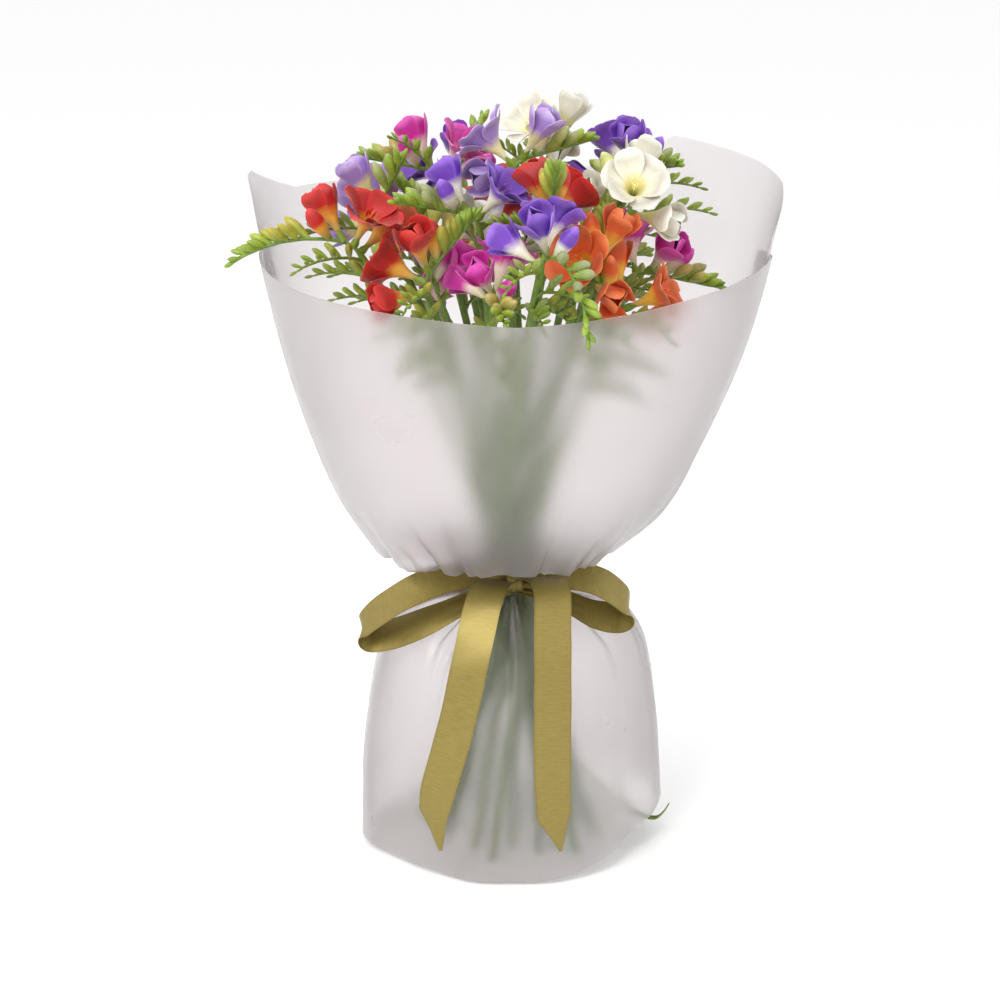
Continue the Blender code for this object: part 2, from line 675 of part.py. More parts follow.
def main():
    """Builds every piece about the bundle's axis, then stands the bundle in its place."""
    clear_scene()
    green = make_material("stem_green", (0.25, 0.42, 0.08), 0.5)
    petals = {name: make_material(f"petal_{name}", colour, 0.45) for name, colour in VARIETIES.items()}
    film = make_material("frosted_film", (0.93, 0.91, 0.93), 0.35, alpha=0.5)
    red = make_material("tie_red", (0.75, 0.15, 0.12), 0.6)
    satin = make_material("ribbon_satin", (0.50, 0.43, 0.14), 0.35)
    for comb in arrange_combs():
        label = f"{comb.index + 1:02d}"
        fuse(f"stem_{label}", stem_pieces(comb), green, "MANIFOLD")
        fuse(f"blooms_{label}", flower_pieces(comb), petals[STEM_VARIETIES[comb.index]])
    film_sheet("wrap_sheet_front", FRONT_SHEET, FRONT_RIM, FILM_LAYER, film)
    film_sheet("wrap_sheet_back", BACK_SHEET, BACK_RIM, 0.0, film)
    add_object("tie_band", *band_ring(BAND_INNER, BAND_THICKNESS, BAND_HEIGHT, BAND_LEVEL, 24), red)
    fuse("ribbon_bow", bow_pieces(), satin, "MANIFOLD")
    for piece in bpy.data.objects:
        piece.location = BUNDLE_PLACE


main()
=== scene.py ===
"""The dressed look of a hand-tied freesia bouquet in frosted film with a satin bow."""

import math

import bpy
import mathutils
import numpy as np
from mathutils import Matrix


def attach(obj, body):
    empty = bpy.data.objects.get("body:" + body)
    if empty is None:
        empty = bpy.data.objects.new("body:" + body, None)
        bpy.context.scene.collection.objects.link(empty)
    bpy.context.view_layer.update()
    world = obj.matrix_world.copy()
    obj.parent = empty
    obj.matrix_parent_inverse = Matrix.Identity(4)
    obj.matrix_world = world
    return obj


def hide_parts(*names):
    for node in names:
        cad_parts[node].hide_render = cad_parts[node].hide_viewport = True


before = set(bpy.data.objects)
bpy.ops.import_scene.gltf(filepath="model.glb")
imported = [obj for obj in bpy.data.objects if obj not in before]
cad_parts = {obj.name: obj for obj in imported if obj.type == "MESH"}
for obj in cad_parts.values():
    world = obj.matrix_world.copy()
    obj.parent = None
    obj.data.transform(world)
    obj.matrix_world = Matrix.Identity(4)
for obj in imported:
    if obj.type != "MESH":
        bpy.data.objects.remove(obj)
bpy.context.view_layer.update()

MM = 0.001
UP = np.array([0.0, 0.0, 1.0])
PLACE = np.array([5.492, 6.146, 0.0]) * MM  # the bundle's axis in the frame
TAU = 2 * math.pi

# The bundle of stems, laid out as in the CAD
STEM_COUNT = 22
STEM_WAIST = 176 * MM
STEM_RADIUS = 2.45 * MM
SLOT_PITCH = 3.0 * MM
SKEW_LENGTH = 39 * MM
BEND_START = 267 * MM
BEND_RATE = 70.0  # extra turn above BEND_START, per square metre
BUNDLE_TURN = math.radians(20)
DOME_TOP = 402 * MM
DOME_DROP = 52 * MM
DOME_TILT = 0.2
DOME_LEVEL = 392 * MM  # where the stems' places give the dome's tilt
GOLDEN_ANGLE = math.pi * (3 - math.sqrt(5))

# The comb of florets at a stem's end
COMB_LENGTH = 66 * MM
COMB_BEND = 24 * MM
COMB_RADIUS = 1.15 * MM
BLOOM_SEATS = (5 * MM, 11 * MM, 18.5 * MM, 27 * MM)
BUD_SEATS = (35 * MM, 42.5 * MM, 49 * MM, 54.5 * MM, 59.5 * MM)
BUD_LENGTHS = (21 * MM, 18 * MM, 15.5 * MM, 13 * MM, 11 * MM)
END_BUD_LENGTH = 9 * MM
COLOURED_BUD_LENGTH = 28 * MM
COLOURED_BUD_SLENDERNESS = 0.19  # its radius over its length
# How far each bloom and bud leans towards the comb's tip and to its sides, in degrees
LEANS = (0, 14, 42, 42, 44, 47, 50, 53, 56)
SPLAYS = (30, -20, 24, -18, 26, -26, 26, -26, 26)

# How each comb is held: yaw, lift in mm, pitch, droop, reach in mm, and its variety. Angles are in degrees
COMBS = (
    (0, 45, 12, 0, 0, "lilac"), (-40, 27, 12, 0, 0, "violet"), (-20, 0, 35, 0, 0, "white"),
    (20, -9, 52, 0, 0, "white"), (-20, 36, 52, 0, 0, "red"), (0, 45, 12, 0, 0, "white"),
    (40, -18, 52, 0, 0, "magenta"), (130, 45, 12, 0, 0, "white"), (65, 36, 12, 0, 0, "magenta"),
    (20, 9, -8, 0, 0, "magenta"), (-90, 45, 12, 0, 0, "violet"), (130, 36, 52, 0, 0, "lilac"),
    (130, 27, 35, 0, 0, "orange"), (-40, 9, -8, 0, 0, "orange"), (130, 27, 52, 0, 0, "red"),
    (-20, 9, -8, 0, 0, "magenta"), (-20, 0, -8, 0, 0, "orange"), (13, 64, 10, 95, 34, "violet"),
    (-20, 0, -8, 0, 0, "magenta"), (-6, 50, 10, 42, 26, "red"), (-130, 18, 35, 0, 0, "orange"),
    (-65, 45, 52, 0, 0, "violet"),
)

# The side branches of green buds, tried in rounds: one branch a stem for each of these lengths in mm
SPRAY_LENGTHS = (64, 50, 44)
SPRAY_BUDS = 9
SPRAY_STARTS = (12, 26, 42, 60)  # mm below the comb
SPRAY_TURNS = (0, 30, -30, 60, -60, 100, -100)  # degrees from straight outwards
SPRAY_CLIMBS = (76, 54, 34, 14)  # degrees above the level
SPRAY_BEND = 26  # mm in which the branch turns away from its stem
SPRAY_DROOP = 34  # degrees that its tip has fallen
SPRAY_APART = 0.5 * MM  # least gap to other branches
SPRAY_CLEAR = 0.3 * MM  # least gap to the flowers and stems
SPRAY_FILM_GAP = 3 * MM
SPRAY_ROOM = 9 * MM  # room beyond this earns nothing more
HEAD_MIDDLE = np.array([0.0, 0.0, 340 * MM])

# The greens of stems, buds and bracts
DEEP = np.array((0.085, 0.165, 0.016))
LEAFY = np.array((0.24, 0.36, 0.028))
YELLOW_GREEN = np.array((0.52, 0.56, 0.07))

# The leaf low on one stem: (distance from the axis, height, width) in mm
LEAFY_STEM = 16
LEAF_TURN = math.radians(-13)
LEAF_LINE = ((42.5, 52, 3), (62, 34, 5), (82, 18, 6), (99, 13, 6), (106, 18, 4), (110, 25, 1))

# The wrap: (distance from the axis, height) in mm on four sides
NECK_RADIUS = 19.7
WRAP_SIDES = {
    0: ((98, 22), (93, 92), (84, 141), (60, 168), (NECK_RADIUS, 176), (NECK_RADIUS, 199),
        (66, 207), (101, 238), (127, 288), (153, 358), (173, 446)),
    90: ((96, 4), (95, 64), (84, 137), (58, 166), (NECK_RADIUS, 176), (NECK_RADIUS, 199),
         (80, 207), (112, 248), (137, 310), (152, 372), (160, 450)),
    180: ((99, 4), (97, 70), (85, 141), (60, 166), (NECK_RADIUS, 176), (NECK_RADIUS, 199),
          (92, 206), (119, 250), (145, 318), (162, 388), (173, 452)),
    270: ((98, 2), (97, 64), (84, 140), (50, 164), (NECK_RADIUS, 174), (NECK_RADIUS, 199),
          (76, 206), (110, 250), (134, 310), (153, 372), (166, 440)),
}
FRONT_SHEET = (168, 372)  # degrees round the axis that each sheet covers, from +X towards +Y
BACK_SHEET = (-12, 180)
FILM_LAYER = 1.8  # mm that the front sheet lies outside the back sheet
# The sheets' top edges: (degrees, height in mm)
FRONT_RIM = ((168, 404), (186, 403), (215, 398), (270, 391), (325, 398), (350, 405), (372, 398))
BACK_RIM = (
    (-12, 424), (4, 446), (20, 452), (48, 458), (62, 436), (90, 424), (150, 430), (174, 452), (180, 452),
)
NECK_ROWS = (4, 5)  # the stations at the bottom and top of the neck
FOOT_STATION = 6  # where the collar turns up from its flat foot
FILM_THICKNESS = 0.35 * MM
FILM_STEP = 1.0  # degrees between the film's lines
COLLAR_CREASES = (5, 70, 7.0)  # their seed, count and depth in mm
SKIRT_CREASES = (11, 110, 9.0)

# The ribbon's middle lines: (x, y, z, width) in mm
LEFT_LOOP = (
    (-3, -29, 188, 12), (-22, -40, 193, 17), (-45, -47, 194, 22), (-66, -51, 187, 25), (-84, -51, 176, 25),
    (-96, -49, 165, 24), (-99, -48, 159, 23), (-93, -47, 154, 24), (-77, -48, 157, 25), (-56, -47, 165, 22),
    (-34, -41, 174, 17), (-14, -34, 181, 13), (-3, -29, 183, 12),
)
RIGHT_LOOP = (
    (5, -29, 188, 12), (25, -40, 193, 17), (45, -45, 195, 22), (61, -46, 190, 25), (73, -45, 180, 24),
    (76, -44, 172, 23), (71, -45, 167, 24), (56, -46, 169, 23), (38, -42, 176, 17), (19, -35, 181, 13),
    (5, -29, 183, 12),
)
LEFT_TAIL = (
    (-3, -29, 185, 12), (-10, -42, 190, 20), (-15, -55, 191, 25), (-20, -69, 180, 25), (-26, -84, 156, 25),
    (-36, -94, 111, 25), (-48, -93, 66, 25), (-51, -92.5, 50, 23), (-48.7, -93, 36, 11.5), (-47, -94, 22, 2),
)
RIGHT_TAIL = (
    (4, -29, 185, 12), (14, -42, 193, 20), (23, -54, 195, 25), (26, -67, 189, 25), (26, -82, 170, 25),
    (26, -95, 137, 25), (26, -100, 85, 25), (27, -101, 50, 23), (29.6, -100, 37, 12), (32, -99, 24, 2),
)
LOOP_TILT = np.array((0.0, 0.8, 0.6))
RIBBON_THICKNESS = 0.45 * MM
RIBBON_WIDTH = 0.025
KNOT = (2, -29, 185.5)
RING_RADIUS = 22.9
RING_LEVEL = 185.5 * MM
BAND_LEVEL = 194 * MM
BAND_STRANDS = ((-1.0, 23.2), (1.0, 23.2), (0.0, 23.7))  # (height over the level, radius) in mm


# Small helpers


def unit(vector):
    return vector / np.linalg.norm(vector)


def smooth_step(value):
    value = np.clip(value, 0.0, 1.0)
    return value * value * (3 - 2 * value)


def spline(points, per_step):
    """Catmull-Rom through rows of numbers, per_step samples to each span."""
    points = np.array(points, float)
    padded = np.concatenate([2 * points[:1] - points[1:2], points, 2 * points[-1:] - points[-2:-1]])
    out = []
    for k in range(len(points) - 1):
        a, b, c, d = padded[k:k + 4]
        for j in range(per_step):
            t = j / per_step
            out.append(0.5 * (2 * b + (c - a) * t + (2 * a - 5 * b + 4 * c - d) * t * t
                              + (3 * b - a - 3 * c + d) * t ** 3))
    out.append(points[-1])
    return np.array(out)


class Shape:
    """Points, faces, UVs and tints of one piece while it is being made."""

    def __init__(self):
        self.points, self.faces, self.uvs, self.tints = [], [], [], []
        self.slots = []
        self.count = 0
        self.slot = 0

    def add(self, points, faces, uvs, tint):
        points = np.asarray(points, float)
        self.points.append(points)
        self.uvs.append(np.asarray(uvs, float))
        self.tints.append(np.broadcast_to(np.asarray(tint, float), (len(points), 4)))
        self.faces += [tuple(i + self.count for i in face) for face in faces]
        self.slots += [self.slot] * len(faces)
        self.count += len(points)

    def sheet(self, middle, thickness, tint=(1, 1, 1, 1), uv=None):
        """A closed shell about a grid of middle points."""
        rows, columns = middle.shape[:2]
        du = np.gradient(middle, axis=0)
        dv = np.gradient(middle, axis=1)
        normal = np.cross(du, dv)
        length = np.linalg.norm(normal, axis=2, keepdims=True)
        normal = normal / np.maximum(length, 1e-12)
        half = np.asarray(thickness) / 2
        if half.ndim:
            half = half[:, None, None]
        top = (middle + normal * half).reshape(-1, 3)
        bottom = (middle - normal * half).reshape(-1, 3)
        below = rows * columns
        faces = []
        for i in range(rows - 1):
            for j in range(columns - 1):
                a = i * columns + j
                quad = (a, a + columns, a + columns + 1, a + 1)
                faces.append(quad)
                faces.append(tuple(below + q for q in reversed(quad)))
        rim = list(range(columns))
        rim += [i * columns + columns - 1 for i in range(1, rows)]
        rim += [(rows - 1) * columns + j for j in range(columns - 2, -1, -1)]
        rim += [i * columns for i in range(rows - 2, 0, -1)]
        for a, b in zip(rim, rim[1:] + rim[:1]):
            faces.append((a, b, below + b, below + a))
        if uv is None:
            u, v = np.meshgrid(np.linspace(0, 1, rows), np.linspace(0, 1, columns), indexing="ij")
            uv = np.stack([u, v], axis=2)
        uv = uv.reshape(-1, 2)
        if np.ndim(tint) == 3:
            tint = np.concatenate([tint.reshape(-1, 4)] * 2)
        self.add(np.concatenate([top, bottom]), faces, np.concatenate([uv, uv]), tint)

    def tube(self, path, radii, sides, tint=(1, 1, 1, 1), ridge=0.0, lobes=3, spiral=0.0):
        """A closed tube along a path, its ends closed by a point."""
        path = np.asarray(path, float)
        radii = np.asarray(radii, float)
        ways = np.gradient(path, axis=0)
        ways /= np.linalg.norm(ways, axis=1, keepdims=True)
        across = np.cross(ways[0], UP if abs(ways[0][2]) < 0.9 else np.array([1.0, 0.0, 0.0]))
        across = unit(across)
        points, uvs, faces = [], [], []
        turns = np.arange(sides) * TAU / sides
        for k, (centre, way, radius) in enumerate(zip(path, ways, radii)):
            across = unit(across - way * (across @ way))
            beside = np.cross(way, across)
            share = k / (len(path) - 1)
            r = radius * (1 + ridge * np.cos(lobes * turns + spiral * share))
            ring = centre + r[:, None] * (np.cos(turns)[:, None] * across + np.sin(turns)[:, None] * beside)
            points += list(ring)
            uvs += [(share, t / TAU) for t in turns]
        rings = len(path)
        for k in range(rings - 1):
            for j in range(sides):
                a, b = k * sides + j, k * sides + (j + 1) % sides
                faces.append((a, b, b + sides, a + sides))
        points += [path[0], path[-1] + ways[-1] * radii[-1] * 0.6]
        uvs += [(0, 0.5), (1, 0.5)]
        first, last = rings * sides, rings * sides + 1
        for j in range(sides):
            faces.append(((j + 1) % sides, j, first))
            faces.append(((rings - 1) * sides + j, (rings - 1) * sides + (j + 1) % sides, last))
        if np.ndim(tint) == 2:
            tint = np.concatenate([np.repeat(tint, sides, axis=0), tint[:1], tint[-1:]])
        self.add(points, faces, uvs, tint)

    def make(self, name, *materials, nodes=(), sharp=50):
        """The finished piece, riding on the root and standing for the CAD nodes named."""
        mesh = bpy.data.meshes.new(name)
        points = np.concatenate(self.points) + PLACE
        mesh.from_pydata(points.tolist(), [], self.faces)
        corner = np.empty(len(mesh.loops), np.int32)
        mesh.loops.foreach_get("vertex_index", corner)
        layer = mesh.uv_layers.new(name="UVMap")
        layer.data.foreach_set("uv", np.concatenate(self.uvs)[corner].astype(np.float32).ravel())
        colours = mesh.color_attributes.new("tint", "FLOAT_COLOR", "POINT")
        colours.data.foreach_set("color", np.concatenate(self.tints).astype(np.float32).ravel())
        for material in materials:
            mesh.materials.append(material)
        mesh.polygons.foreach_set("material_index", np.array(self.slots, np.int32))
        mesh.shade_smooth()
        mesh.set_sharp_from_angle(angle=math.radians(sharp))
        piece = bpy.data.objects.new(name, mesh)
        bpy.context.scene.collection.objects.link(piece)
        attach(piece, "root")
        if nodes:
            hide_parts(*nodes)
        return piece


# The bundle's layout


def tie_slot(index):
    if index == 0:
        return 0j
    angle = GOLDEN_ANGLE * index + BUNDLE_TURN
    radius = SLOT_PITCH * math.sqrt(index + 2)
    return complex(radius * math.cos(angle), radius * math.sin(angle))


def stem_point(index, height):
    drift = (height - STEM_WAIST) / SKEW_LENGTH
    drift += BEND_RATE * max(0.0, height - BEND_START) ** 2
    place = tie_slot(index) * complex(1.0, drift)
    return np.array([place.real, place.imag, height])


def stem_top(index):
    return DOME_TOP - DOME_DROP * index / STEM_COUNT + DOME_TILT * stem_point(index, DOME_LEVEL)[1]


class Comb:
    """One stem's flowering end: its axis, and the florets' seats and directions."""

    def __init__(self, index, yaw, lift, pitch, droop, reach, variety):
        self.index = index
        self.variety = variety
        self.reach = reach * MM
        self.top_height = stem_top(index) + lift * MM
        self.top = stem_point(index, self.top_height)
        start = unit(self.top - stem_point(index, self.top_height - 4 * MM))
        outward = math.atan2(self.top[1], self.top[0]) if index else BUNDLE_TURN
        heading = outward + math.radians(yaw)
        self.level = np.array([math.cos(heading), math.sin(heading), 0.0])
        self.side = np.cross(self.level, UP)
        whole = COMB_LENGTH + self.reach
        points, tangents = [self.top], []
        for step in range(int(round(whole / MM)) + 1):
            along = step * MM
            turned = smooth_step(along / COMB_BEND)
            fall = math.radians(pitch) - math.radians(droop) * max(0.0, along - COMB_BEND) / (whole - COMB_BEND)
            end = math.cos(fall) * self.level + math.sin(fall) * UP
            direction = unit((1 - turned) * start + turned * end)
            tangents.append(direction)
            points.append(points[-1] + direction * MM)
        self.points, self.tangents = np.array(points[:-1]), np.array(tangents)

    def at(self, along):
        budded = max(0.0, along - BLOOM_SEATS[-1])
        along += self.reach * budded / (COMB_LENGTH - BLOOM_SEATS[-1])
        step = min(len(self.points) - 1, int(round(along / MM)))
        direction = self.tangents[step]
        return self.points[step], direction, unit(np.cross(self.side, direction))

    def way(self, along, lean, splay):
        point, direction, upper = self.at(along)
        lean, splay = math.radians(lean), math.radians(splay)
        way = upper * math.cos(lean) + direction * math.sin(lean)
        return point, unit(way * math.cos(splay) + self.side * math.sin(splay))


class Spray:
    """A side branch of small green buds that leaves a stem below its comb."""

    def __init__(self, comb, below, turn, climb, length):
        height = comb.top_height - below * MM
        root = stem_point(comb.index, height)
        start = unit(root - stem_point(comb.index, height - 4 * MM))
        outward = math.atan2(comb.top[1], comb.top[0]) if comb.index else BUNDLE_TURN
        heading = outward + math.radians(turn)
        level = np.array([math.cos(heading), math.sin(heading), 0.0])
        self.side = np.cross(level, UP)
        self.length = length
        steps = np.arange(length + 1)
        turned = smooth_step(steps / SPRAY_BEND)[:, None]
        rise = np.radians(climb - SPRAY_DROOP * (steps / length) ** 2)[:, None]
        ways = (1 - turned) * start + turned * (np.cos(rise) * level + np.sin(rise) * UP)
        self.tangents = ways / np.linalg.norm(ways, axis=1, keepdims=True)
        self.points = root + np.concatenate([np.zeros((1, 3)), np.cumsum(self.tangents[:-1], axis=0)]) * MM
        self.buds = []
        for number in range(SPRAY_BUDS):
            share = number / (SPRAY_BUDS - 1)
            step = int(round(length * (0.36 + 0.64 * share ** 0.88)))
            direction = self.tangents[step]
            upper = unit(np.cross(self.side, direction))
            last = number == SPRAY_BUDS - 1
            lean = math.radians(85 if last else 42 + 14 * share)
            splay = math.radians(0 if last else 30 if number % 2 else -30)
            way = upper * math.cos(lean) + direction * math.sin(lean)
            way = unit(way * math.cos(splay) + self.side * math.sin(splay))
            self.buds.append((self.points[step], direction, way, (15.5 - 8.5 * share) * MM))

    def balls(self):
        """Rows of (x, y, z, radius) along the branch and its buds."""
        rows = [[*self.points[step], 1.2 * MM] for step in range(12, self.length, 7)]
        for seat, _, way, length in self.buds:
            rows += [[*(seat + way * length * 0.5), 0.17 * length], [*(seat + way * length), 0.04 * length]]
        return np.array(rows)


def film_gap(balls):
    """The least gap between the balls and the film that still stands round them at their height."""
    least = 1.0
    for x, y, z, radius in balls:
        angle = (math.degrees(math.atan2(y, x)) + 12) % 360 - 12
        tops = []
        for rim in (FRONT_RIM, BACK_RIM):
            for turned in (angle, angle + 360):
                if rim[0][0] <= turned <= rim[-1][0]:
                    tops.append(np.interp(turned, [a for a, _ in rim], [h for _, h in rim]))
        if z - radius > max(tops) * MM:
            continue
        wall = wrap_stations(angle)[FOOT_STATION:] * MM
        least = min(least, np.interp(z, wall[:, 1], wall[:, 0]) - math.hypot(x, y) - radius)
    return least


def place_sprays(combs, shapes):
    """Side branches for each stem, where the flowers, buds and stems leave the most room for them."""
    filled = np.concatenate([points[::2] for shape in shapes for points in shape.points])
    filled = filled[filled[:, 2] > BEND_START]
    tree = mathutils.kdtree.KDTree(len(filled))
    for number, point in enumerate(filled):
        tree.insert(point, number)
    tree.balance()
    placed = np.zeros((1, 4))
    sprays = {comb.index: [] for comb in combs}
    for length in SPRAY_LENGTHS:
        for comb in reversed(combs):
            found = []
            for below in SPRAY_STARTS:
                for turn in SPRAY_TURNS:
                    for climb in SPRAY_CLIMBS:
                        spray = Spray(comb, below, turn, climb, length + 5 * (comb.index % 3))
                        balls = spray.balls()
                        gaps = np.linalg.norm(balls[:, None, :3] - placed[None, :, :3], axis=2) - placed[:, 3]
                        gaps = gaps.min(axis=1) - balls[:, 3]
                        if gaps.min() < SPRAY_APART:
                            continue
                        near = np.array([tree.find(ball[:3])[2] for ball in balls]) - balls[:, 3]
                        if near.min() < SPRAY_CLEAR:
                            continue
                        room = np.minimum(np.minimum(gaps, near), SPRAY_ROOM).mean()
                        room += 0.05 * np.linalg.norm(spray.points[-1] - HEAD_MIDDLE)
                        found.append((room, len(found), spray, balls))
            for _, _, spray, balls in sorted(found, reverse=True, key=lambda item: item[:2]):
                if film_gap(balls) > SPRAY_FILM_GAP:
                    sprays[comb.index].append(spray)
                    placed = np.concatenate([placed, balls])
                    break
    return sprays


def spray_buds(shape, spray, hint, rng):
    """The branch and its two rows of buds that get smaller to the tip."""
    steps = list(range(0, spray.length, 4)) + [spray.length]
    jog = [0.35 * MM * math.sin(k * 2.1) * (k > 4) for k in range(len(steps))]
    path = [spray.points[s] + spray.side * j for s, j in zip(steps, jog)]
    radii = np.interp(steps, (0, 12, spray.length), (1.7 * MM, 1.2 * MM, 0.7 * MM))
    shape.tube(path, radii, 8, (*(LEAFY * 0.8), 1.0))
    ripe = rng.uniform(0.0, 0.8)
    for number, (seat, direction, way, length) in enumerate(spray.buds):
        share = number / (SPRAY_BUDS - 1)
        fresh = np.clip(ripe * (1.1 - share), 0, 1)
        base = (1 - fresh) * LEAFY + fresh * YELLOW_GREEN
        tip = (0.8 * base + 0.2 * DEEP) * rng.uniform(0.8, 1.1)
        if share < 0.25:
            tip = 0.85 * tip + 0.15 * hint
        rows = np.linspace(0, 1, 9)[:, None] ** 1.4
        tints = (1 - rows) * (0.6 * LEAFY + 0.4 * base) + rows * tip
        tints = np.concatenate([tints, np.ones((9, 1))], axis=1)
        thick = length * rng.uniform(0.15, 0.172)
        closed_bud(shape, seat, way, length, thick, 0.0, tints, 9, 0.04, direction * 0.4)


# Materials


class Graph:
    """A material's nodes, made and joined with few words."""

    def __init__(self, name, **settings):
        self.material = bpy.data.materials.new(name)
        self.material.use_nodes = True
        self.nodes = self.material.node_tree.nodes
        self.links = self.material.node_tree.links
        self.shader = self.nodes["Principled BSDF"]
        for socket, value in settings.items():
            self.shader.inputs[socket.replace("_", " ")].default_value = value

    def node(self, kind, inputs=(), **attributes):
        made = self.nodes.new(kind)
        for key, value in attributes.items():
            setattr(made, key, value)
        for key, value in dict(inputs).items():
            if isinstance(value, bpy.types.NodeSocket):
                self.links.new(value, made.inputs[key])
            else:
                made.inputs[key].default_value = value
        return made

    def maths(self, operation, a, b=0.0, clamp=False):
        made = self.node("ShaderNodeMath", {0: a, 1: b}, operation=operation)
        made.use_clamp = clamp
        return made.outputs[0]

    def mix(self, share, a, b, blend="MIX"):
        made = self.nodes.new("ShaderNodeMix")
        made.data_type, made.blend_type = "RGBA", blend
        for key, value in ((0, share), (6, a), (7, b)):
            if isinstance(value, bpy.types.NodeSocket):
                self.links.new(value, made.inputs[key])
            else:
                made.inputs[key].default_value = (*value, 1.0) if key and len(value) == 3 else value
        return made.outputs[2]

    def noise(self, scale, detail=3.0, coordinates=None, stretch=(1, 1, 1), roughness=0.5):
        source = coordinates or self.node("ShaderNodeTexCoord").outputs["Object"]
        mapped = self.node("ShaderNodeMapping", {"Vector": source, "Scale": stretch}).outputs[0]
        inputs = {"Vector": mapped, "Scale": scale, "Detail": detail, "Roughness": roughness}
        return self.node("ShaderNodeTexNoise", inputs).outputs["Fac"]

    def uv(self):
        return self.node("ShaderNodeUVMap", uv_map="UVMap").outputs[0]

    def ramp(self, value, stops):
        made = self.node("ShaderNodeValToRGB", {"Fac": value})
        elements = made.color_ramp.elements
        while len(elements) < len(stops):
            elements.new(0.5)
        for element, (place, colour) in zip(elements, stops):
            element.position = place
            element.color = (*colour, 1.0)
        return made.outputs["Color"]

    def join(self, value, socket):
        self.links.new(value, self.shader.inputs[socket])

    def bump(self, height, strength, distance):
        made = self.node("ShaderNodeBump", {"Height": height, "Strength": strength, "Distance": distance})
        self.join(made.outputs[0], "Normal")


# Each variety: outside of the tube, throat, petal, margin
VARIETIES = {
    "magenta": ((0.62, 0.60, 0.30), (0.90, 0.72, 0.62), (0.70, 0.022, 0.38), (0.86, 0.10, 0.56)),
    "violet": ((0.60, 0.60, 0.36), (0.92, 0.86, 0.74), (0.20, 0.060, 0.56), (0.36, 0.16, 0.74)),
    "lilac": ((0.68, 0.66, 0.40), (0.95, 0.86, 0.42), (0.46, 0.27, 0.70), (0.66, 0.50, 0.86)),
    "white": ((0.60, 0.64, 0.28), (0.92, 0.84, 0.34), (0.95, 0.91, 0.74), (0.97, 0.95, 0.86)),
    "orange": ((0.66, 0.50, 0.14), (0.95, 0.52, 0.04), (0.88, 0.130, 0.022), (0.93, 0.24, 0.07)),
    "red": ((0.55, 0.40, 0.10), (0.90, 0.42, 0.04), (0.62, 0.010, 0.006), (0.76, 0.03, 0.02)),
}


def petal_material(variety):
    tube, throat, petal, margin = VARIETIES[variety]
    graph = Graph(f"petal_{variety}", Roughness=0.42)
    graph.shader.inputs["Sheen Weight"].default_value = 0.12
    uv = graph.uv()
    parts = graph.node("ShaderNodeSeparateXYZ", {"Vector": uv})
    along = parts.outputs[0]
    wander = graph.noise(90, 3)
    place = graph.maths("ADD", along, graph.maths("MULTIPLY", graph.maths("SUBTRACT", wander, 0.5), 0.22))
    dark = tuple(c * 0.72 for c in petal)
    colour = graph.ramp(place, (
        (0.0, (0.22, 0.32, 0.05)), (0.18, tube), (0.44, throat), (0.58, petal), (0.8, dark), (1.0, margin),
    ))
    side = graph.maths("ABSOLUTE", graph.maths("SUBTRACT", parts.outputs[1], 0.5))
    edge = graph.maths("MULTIPLY", graph.maths("SUBTRACT", side, 0.34), 5.0, clamp=True)
    outer = graph.maths("MULTIPLY", graph.maths("SUBTRACT", along, 0.5), 4.0, clamp=True)
    edge = graph.maths("MULTIPLY", edge, outer)
    colour = graph.mix(graph.maths("MULTIPLY", edge, 0.65), colour, margin)
    veins = graph.noise(7.0, 4, uv, (0.5, 6.0, 1.0), 0.6)
    shade = graph.ramp(veins, ((0.3, (0.80, 0.80, 0.80)), (0.62, (1.0, 1.0, 1.0))))
    colour = graph.mix(0.8, colour, shade, "MULTIPLY")
    tint = graph.node("ShaderNodeAttribute", attribute_name="tint").outputs["Color"]
    colour = graph.mix(1.0, colour, tint, "MULTIPLY")
    graph.join(colour, "Base Color")
    graph.join(graph.maths("ADD", graph.maths("MULTIPLY", veins, 0.25), 0.3), "Roughness")
    graph.bump(graph.maths("ADD", veins, graph.maths("MULTIPLY", wander, 0.4)), 0.35, 0.0006)
    return graph.material


def green_material():
    graph = Graph("fresh_green", Roughness=0.38)
    graph.shader.inputs["Coat Weight"].default_value = 0.18
    graph.shader.inputs["Coat Roughness"].default_value = 0.25
    tint = graph.node("ShaderNodeAttribute", attribute_name="tint").outputs["Color"]
    blotch = graph.noise(160, 4)
    shade = graph.ramp(blotch, ((0.32, (0.70, 0.74, 0.62)), (0.66, (1.12, 1.08, 1.0))))
    colour = graph.mix(0.9, tint, shade, "MULTIPLY")
    streak = graph.noise(5.0, 3, graph.uv(), (0.4, 9.0, 1.0))
    fine = graph.ramp(streak, ((0.35, (0.82, 0.86, 0.78)), (0.6, (1.0, 1.0, 1.0))))
    colour = graph.mix(0.7, colour, fine, "MULTIPLY")
    graph.join(colour, "Base Color")
    graph.join(graph.maths("ADD", graph.maths("MULTIPLY", blotch, 0.3), 0.22), "Roughness")
    graph.bump(streak, 0.3, 0.0005)
    return graph.material


def film_material():
    graph = Graph("frosted_film", Roughness=0.3, IOR=1.3, Transmission_Weight=0.93)
    cloud = graph.noise(14, 2)
    colour = graph.ramp(cloud, ((0.2, (0.821, 0.779, 0.784)), (0.8, (0.904, 0.876, 0.881))))
    graph.join(colour, "Base Color")
    graph.join(graph.maths("ADD", graph.maths("MULTIPLY", cloud, 0.14), 0.23), "Roughness")
    graph.bump(cloud, 0.15, 0.003)
    return graph.material


